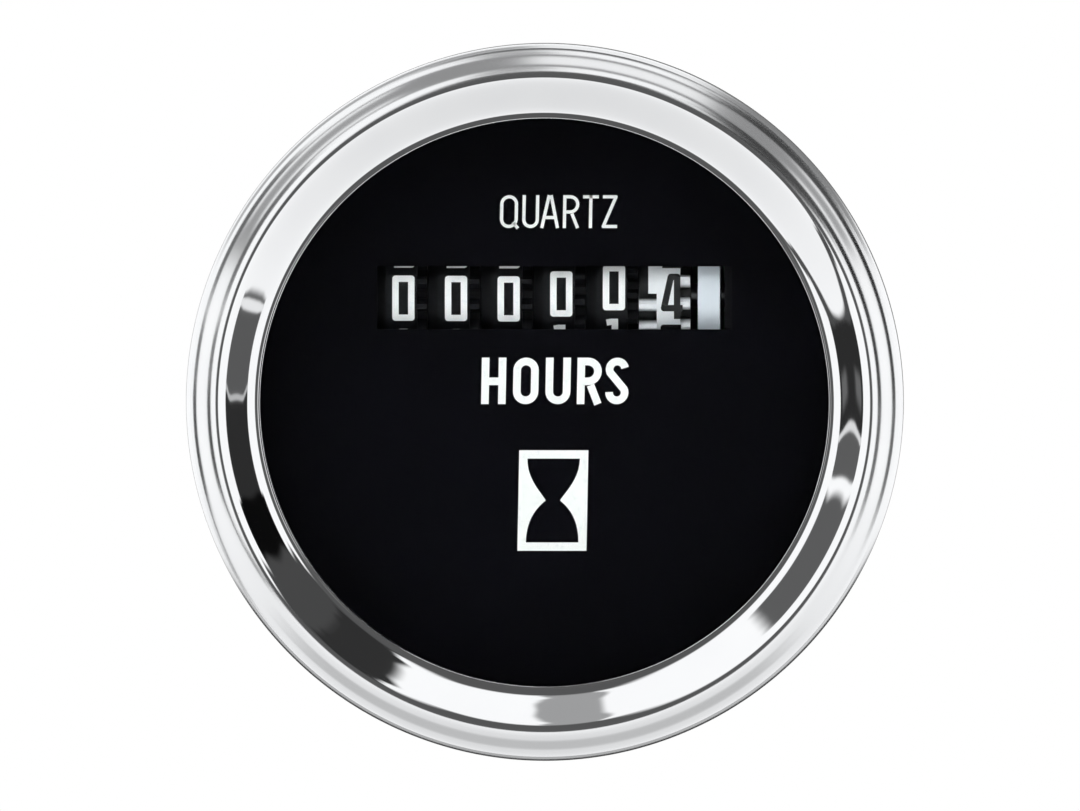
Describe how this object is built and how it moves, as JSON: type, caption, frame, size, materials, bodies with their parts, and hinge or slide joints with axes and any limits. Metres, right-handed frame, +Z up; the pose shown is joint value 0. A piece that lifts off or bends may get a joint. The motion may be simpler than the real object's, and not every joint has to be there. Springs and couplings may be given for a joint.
{
  "type": "hour meter",
  "caption": "Round panel-mount hour meter: polished bezel, glass lens, black dial with a number-wheel counter window, moulded case, blade terminals and a rear clamp.",
  "frame": {"origin": "on the axis of the case, at the bezel's back face, where the panel's front lies", "axes": "+Y along the case's axis to the back, +Z up the dial, +X to the dial's right; the dial faces -Y"},
  "size_m": [0.06, 0.061, 0.06],
  "materials": {
    "polished_steel": "polished",
    "glass": "clear",
    "gasket_rubber": "matte",
    "dial_paint": "satin black",
    "case_plastic": "moulded",
    "frame_plastic": "moulded",
    "black_wheel": "moulded",
    "white_wheel": "moulded",
    "shaft_steel": "ground",
    "train_brass": "satin",
    "magnet": "sintered",
    "motor_iron": "stamped",
    "bobbin_plastic": "moulded",
    "copper_wire": "enamelled",
    "tinned_wire": "tinned",
    "board": "solder mask",
    "chip_plastic": "moulded",
    "capacitor_sleeve": "shrink sleeve",
    "suppressor_coat": "dipped",
    "resistor_coat": "lacquered",
    "zinc_plate": "bright zinc plate",
    "clamp_steel": "zinc plate",
    "tinned_brass": "tinned"
  },
  "bodies": {
    "meter": {"bezel": "polished_steel", "lens": "glass", "lens_gasket": "gasket_rubber", "spacer_ring": "frame_plastic", "dial": "dial_paint", "case": "case_plastic", "movement_frame": "frame_plastic", "pinion_shaft": "shaft_steel", "pinion_shaft_clips": "shaft_steel", "gear_bridge": "train_brass", "bridge_posts": "train_brass", "bridge_screws": "zinc_plate", "stator": "motor_iron", "coil_core": "motor_iron", "coil_bobbin": "bobbin_plastic", "coil_winding": "copper_wire", "coil_pins": "tinned_wire", "motor_posts": "train_brass", "motor_screws": "zinc_plate", "circuit_board": "board", "board_screws": "zinc_plate", "crystal_can": "tinned_wire", "timer_chip": "chip_plastic", "filter_capacitor": "capacitor_sleeve", "surge_suppressor": "suppressor_coat", "board_resistors": "resistor_coat", "positive_terminal": "tinned_brass", "negative_terminal": "tinned_brass", "mounting_studs": "zinc_plate", "stud_washers": "zinc_plate", "stud_nuts": "zinc_plate"},
    "tenths": {"counter_shaft": "shaft_steel", "counter_shaft_clip": "shaft_steel", "tenths_wheel": "white_wheel", "drive_collar": "white_wheel", "drive_gear": "white_wheel"},
    "units": {"units_wheel": "black_wheel"},
    "tens": {"tens_wheel": "black_wheel"},
    "hundreds": {"hundreds_wheel": "black_wheel"},
    "thousands": {"thousands_wheel": "black_wheel"},
    "ten_thousands": {"ten_thousands_wheel": "black_wheel"},
    "units_carry": {"units_pinion": "white_wheel"},
    "tens_carry": {"tens_pinion": "white_wheel"},
    "hundreds_carry": {"hundreds_pinion": "white_wheel"},
    "thousands_carry": {"thousands_pinion": "white_wheel"},
    "ten_thousands_carry": {"ten_thousands_pinion": "white_wheel"},
    "second_train": {"second_arbor": "train_brass", "second_wheel": "train_brass"},
    "first_train": {"first_arbor": "train_brass", "first_wheel": "train_brass"},
    "rotor": {"rotor_shaft": "shaft_steel", "rotor_magnet": "magnet"},
    "clamp": {"mounting_clamp": "clamp_steel", "clamp_washers": "zinc_plate", "clamp_nuts": "zinc_plate"}
  },
  "joints": [
    {"name": "tenths_turn", "type": "hinge", "parent": "meter", "child": "tenths", "pos_m": [0, 0.0105, 0.0086], "axis": [-1, 0, 0], "continuous": true},
    {"name": "units_turn", "type": "hinge", "parent": "meter", "child": "units", "pos_m": [0, 0.0105, 0.0086], "axis": [-1, 0, 0], "continuous": true},
    {"name": "tens_turn", "type": "hinge", "parent": "meter", "child": "tens", "pos_m": [0, 0.0105, 0.0086], "axis": [-1, 0, 0], "continuous": true},
    {"name": "hundreds_turn", "type": "hinge", "parent": "meter", "child": "hundreds", "pos_m": [0, 0.0105, 0.0086], "axis": [-1, 0, 0], "continuous": true},
    {"name": "thousands_turn", "type": "hinge", "parent": "meter", "child": "thousands", "pos_m": [0, 0.0105, 0.0086], "axis": [-1, 0, 0], "continuous": true},
    {"name": "ten_thousands_turn", "type": "hinge", "parent": "meter", "child": "ten_thousands", "pos_m": [0, 0.0105, 0.0086], "axis": [-1, 0, 0], "continuous": true},
    {"name": "units_carry_turn", "type": "hinge", "parent": "meter", "child": "units_carry", "pos_m": [0, 0.01932, 0.0086], "axis": [-1, 0, 0], "continuous": true},
    {"name": "tens_carry_turn", "type": "hinge", "parent": "meter", "child": "tens_carry", "pos_m": [0, 0.01932, 0.0086], "axis": [-1, 0, 0], "continuous": true},
    {"name": "hundreds_carry_turn", "type": "hinge", "parent": "meter", "child": "hundreds_carry", "pos_m": [0, 0.01932, 0.0086], "axis": [-1, 0, 0], "continuous": true},
    {"name": "thousands_carry_turn", "type": "hinge", "parent": "meter", "child": "thousands_carry", "pos_m": [0, 0.01932, 0.0086], "axis": [-1, 0, 0], "continuous": true},
    {"name": "ten_thousands_carry_turn", "type": "hinge", "parent": "meter", "child": "ten_thousands_carry", "pos_m": [0, 0.01932, 0.0086], "axis": [-1, 0, 0], "continuous": true},
    {"name": "second_train_turn", "type": "hinge", "parent": "meter", "child": "second_train", "pos_m": [0.017, 0.0105, 0.0006], "axis": [-1, 0, 0], "continuous": true},
    {"name": "first_train_turn", "type": "hinge", "parent": "meter", "child": "first_train", "pos_m": [0.016, 0.0147, -0.005], "axis": [-1, 0, 0], "continuous": true},
    {"name": "rotor_turn", "type": "hinge", "parent": "meter", "child": "rotor", "pos_m": [0.013, 0.02046, -0.00932], "axis": [-1, 0, 0], "continuous": true},
    {"name": "clamp_draw", "type": "slide", "parent": "meter", "child": "clamp", "axis": [0, 1, 0], "range_m": [-0.0028, 0.05]}
  ],
  "couplings": [
    {"joint": "units_turn", "follows": "tenths_turn", "ratio": 0.1},
    {"joint": "tens_turn", "follows": "tenths_turn", "ratio": 0.01},
    {"joint": "hundreds_turn", "follows": "tenths_turn", "ratio": 0.001},
    {"joint": "thousands_turn", "follows": "tenths_turn", "ratio": 0.0001},
    {"joint": "ten_thousands_turn", "follows": "tenths_turn", "ratio": 0.00001},
    {"joint": "units_carry_turn", "follows": "tenths_turn", "ratio": -0.25},
    {"joint": "tens_carry_turn", "follows": "tenths_turn", "ratio": -0.025},
    {"joint": "hundreds_carry_turn", "follows": "tenths_turn", "ratio": -0.0025},
    {"joint": "thousands_carry_turn", "follows": "tenths_turn", "ratio": -0.00025},
    {"joint": "ten_thousands_carry_turn", "follows": "tenths_turn", "ratio": -0.000025},
    {"joint": "second_train_turn", "follows": "tenths_turn", "ratio": -4},
    {"joint": "first_train_turn", "follows": "tenths_turn", "ratio": 10},
    {"joint": "rotor_turn", "follows": "tenths_turn", "ratio": -50}
  ]
}
